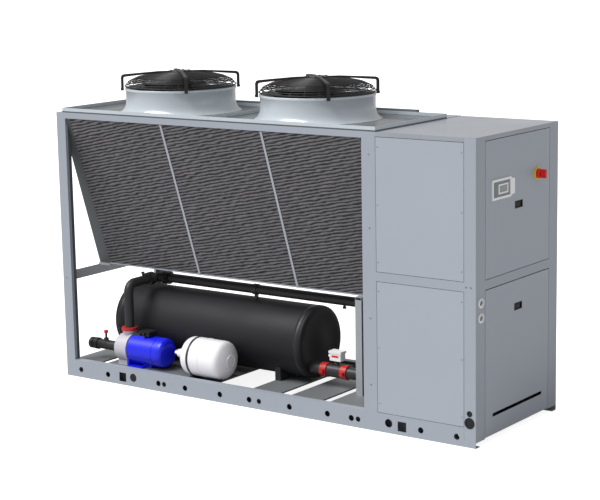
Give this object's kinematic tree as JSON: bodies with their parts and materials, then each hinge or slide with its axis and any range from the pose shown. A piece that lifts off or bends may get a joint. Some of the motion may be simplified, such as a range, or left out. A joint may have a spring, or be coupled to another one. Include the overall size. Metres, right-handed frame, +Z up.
{
  "type": "condensing unit",
  "caption": "Packaged air-cooled refrigeration unit: V coils under axial fans, pump, tank and vessel on a channel base, with a sheet-metal control cabinet at one end.",
  "frame": {"origin": "middle of the four foot holes, on the ground under the base rails", "axes": "+X towards the cabinet end, +Y towards the rear, +Z up"},
  "size_m": [3.45, 1.042, 2.19],
  "materials": {
    "grey_paint": "satin",
    "galvanised": "satin",
    "fin_aluminium": "matte",
    "copper": "satin",
    "steel_bright": "satin",
    "black_plastic": "matte",
    "white_plastic": "satin",
    "screen": "gloss",
    "yellow_plastic": "satin",
    "red_plastic": "satin",
    "gauge_steel": "satin",
    "needle_black": "matte",
    "black_rubber": "matte",
    "black_paint": "satin",
    "dark_trunking": "matte",
    "pump_iron": "satin",
    "motor_blue": "gloss",
    "vessel_white": "gloss",
    "coupling_red": "satin"
  },
  "bodies": {
    "unit": {"base_rail_front": "grey_paint", "base_rail_rear": "grey_paint", "posts_left": "grey_paint", "posts_middle": "grey_paint", "posts_right": "grey_paint", "top_beams_long": "grey_paint", "top_cross_beams": "grey_paint", "rear_roof_strip": "grey_paint", "cabinet_roof": "grey_paint", "cabinet_belt_rails": "grey_paint", "panel_front_upper": "grey_paint", "panel_front_lower": "grey_paint", "panels_rear": "grey_paint", "base_cross_members": "galvanised", "cabinet_divider": "galvanised", "coil_frames": "galvanised", "coil_supports": "galvanised", "fan_plate_left": "galvanised", "fan_plate_right": "galvanised", "electrical_plate": "galvanised", "coil_front": "fin_aluminium", "coil_rear": "fin_aluminium", "coil_headers": "copper", "refrigerant_pipes": "copper", "door_hinge_pins": "steel_bright", "heat_exchanger": "steel_bright", "flow_switch": "white_plastic", "gauge_cases": "gauge_steel", "cable_grommets": "black_rubber", "buffer_tank": "black_rubber", "discharge_pipe": "black_rubber", "fan_guard_left": "black_paint", "fan_guard_right": "black_paint", "fan_motor_left": "black_paint", "fan_motor_right": "black_paint", "tank_brackets": "black_paint", "outlet_pipe": "black_paint", "suction_union": "black_paint", "compressors": "black_paint", "liquid_receiver": "black_paint", "fan_cable_trunking": "dark_trunking", "pump_casing": "pump_iron", "pump_motor": "motor_blue", "expansion_vessel": "vessel_white", "grooved_couplings": "coupling_red"},
    "electrical_door": {"electrical_door": "grey_paint", "latch_dish_upper": "black_plastic", "display_housing": "white_plastic", "display_screen": "screen", "main_switch_plate": "yellow_plastic"},
    "compressor_door": {"compressor_door": "grey_paint", "latch_dish_lower": "black_plastic"},
    "latch_paddle_upper": {"latch_paddle_upper": "black_plastic"},
    "latch_paddle_lower": {"latch_paddle_lower": "black_plastic"},
    "main_switch_knob": {"main_switch_knob": "red_plastic"},
    "gauge_needle_high": {"gauge_needle_high": "needle_black"},
    "gauge_needle_low": {"gauge_needle_low": "needle_black"},
    "fan_impeller_left": {"fan_impeller_left": "black_plastic"},
    "fan_impeller_right": {"fan_impeller_right": "black_plastic"},
    "suction_valve_handle": {"suction_valve_handle": "red_plastic"}
  },
  "joints": [
    {"name": "electrical_door_hinge", "type": "hinge", "parent": "unit", "child": "electrical_door", "pos_m": [1.685, 0.39, 1.449], "axis": [0, 0, 1], "range_deg": [0, 110]},
    {"name": "compressor_door_hinge", "type": "hinge", "parent": "unit", "child": "compressor_door", "pos_m": [1.685, 0.39, 0.501], "axis": [0, 0, 1], "range_deg": [0, 110]},
    {"name": "latch_upper_lift", "type": "hinge", "parent": "electrical_door", "child": "latch_paddle_upper", "pos_m": [1.688, 0.006, 1.449], "axis": [0, -1, 0], "range_deg": [0, 45], "stiffness_Nm_per_rad": 0.1, "springref_deg": -17.19},
    {"name": "latch_lower_lift", "type": "hinge", "parent": "compressor_door", "child": "latch_paddle_lower", "pos_m": [1.688, 0.003, 0.807], "axis": [0, -1, 0], "range_deg": [0, 45], "stiffness_Nm_per_rad": 0.1, "springref_deg": -17.19},
    {"name": "main_switch_turn", "type": "hinge", "parent": "electrical_door", "child": "main_switch_knob", "pos_m": [1.693, 0.242, 1.599], "axis": [1, 0, 0], "range_deg": [0, 90]},
    {"name": "gauge_high_needle_turn", "type": "hinge", "parent": "unit", "child": "gauge_needle_high", "pos_m": [1.697, -0.459, 0.896], "axis": [-1, 0, 0], "range_deg": [-5, 265], "stiffness_Nm_per_rad": 0.002},
    {"name": "gauge_low_needle_turn", "type": "hinge", "parent": "unit", "child": "gauge_needle_low", "pos_m": [1.697, -0.459, 0.803], "axis": [-1, 0, 0], "range_deg": [-5, 265], "stiffness_Nm_per_rad": 0.002},
    {"name": "fan_left_spin", "type": "hinge", "parent": "unit", "child": "fan_impeller_left", "pos_m": [-0.908, -0.093, 2.04], "axis": [0, 0, 1], "continuous": true},
    {"name": "fan_right_spin", "type": "hinge", "parent": "unit", "child": "fan_impeller_right", "pos_m": [0.255, -0.093, 2.04], "axis": [0, 0, 1], "continuous": true},
    {"name": "suction_valve_turn", "type": "hinge", "parent": "unit", "child": "suction_valve_handle", "pos_m": [-1.478, -0.33, 0.308], "axis": [0, 0, 1], "range_deg": [0, 90]}
  ]
}
